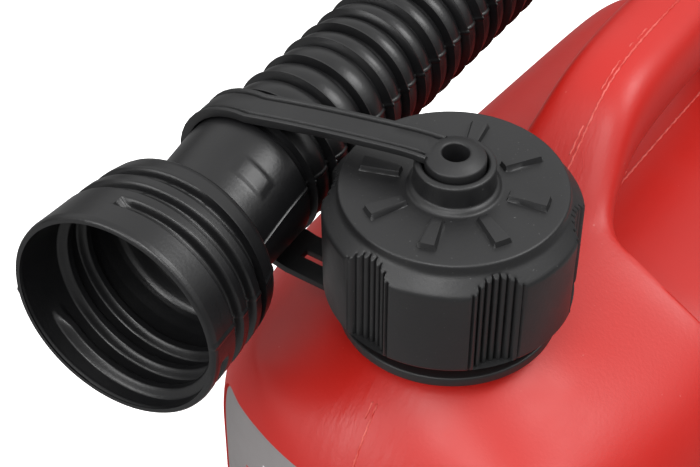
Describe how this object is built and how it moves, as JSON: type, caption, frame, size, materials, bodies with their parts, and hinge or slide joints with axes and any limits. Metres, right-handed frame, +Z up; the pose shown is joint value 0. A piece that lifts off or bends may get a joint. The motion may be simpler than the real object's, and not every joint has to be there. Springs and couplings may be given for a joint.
{
  "type": "jerry can",
  "caption": "Red plastic fuel jerry can with a moulded grip, a screw cap on a retaining strap, and a corrugated pouring spout stowed beside the cap.",
  "frame": {"origin": "middle of the flat base of the tank, on the floor it stands on", "axes": "+Z up, +X from the neck and cap towards the grip's rear end, +Y towards the side where the spout is stowed"},
  "size_m": [0.2987, 0.158, 0.2454],
  "materials": {
    "tank_red": "satin, fine moulded grain",
    "label_grey": "satin printed film",
    "cap_black": "matte",
    "seal_rubber": "matte",
    "strap_black": "satin",
    "spout_black": "satin"
  },
  "bodies": {
    "tank": {"tank": "tank_red", "front_label": "label_grey"},
    "strap": {"retaining_strap": "strap_black"},
    "eye": {"strap_eye": "strap_black"},
    "cap": {"screw_cap": "cap_black", "cap_seal": "seal_rubber"},
    "spout_front": {"spout_collar": "spout_black"},
    "spout_middle": {"spout_bellows": "spout_black"},
    "spout_rear": {"spout_nozzle": "spout_black"}
  },
  "joints": [
    {"name": "strap_swivel", "type": "hinge", "parent": "tank", "child": "strap", "pos_m": [-0.088, 0, 0.19], "axis": [0, 0, 1], "range_deg": [-8, 105]},
    {"name": "cap_lift", "type": "slide", "parent": "strap", "child": "eye", "axis": [0, 0, 1], "range_m": [0, 0.0277]},
    {"name": "cap_turn", "type": "hinge", "parent": "eye", "child": "cap", "pos_m": [-0.088, 0, 0.19], "axis": [0, 0, 1], "range_deg": [0, 1656]},
    {"name": "spout_slide", "type": "slide", "parent": "strap", "child": "spout_front", "axis": [-1, 0, 0], "range_m": [0, 0.195]},
    {"name": "spout_bend", "type": "hinge", "parent": "spout_front", "child": "spout_middle", "pos_m": [-0.047, 0.055, 0.2154], "axis": [0, -1, 0], "range_deg": [-8, 8]},
    {"name": "spout_bend_rear", "type": "hinge", "parent": "spout_middle", "child": "spout_rear", "pos_m": [-0.0134, 0.055, 0.2154], "axis": [0, -1, 0], "range_deg": [-8, 8]}
  ],
  "couplings": [
    {"joint": "cap_lift", "follows": "cap_turn", "m_per_rad": 0.00095493},
    {"joint": "spout_bend_rear", "follows": "spout_bend", "ratio": 1}
  ]
}
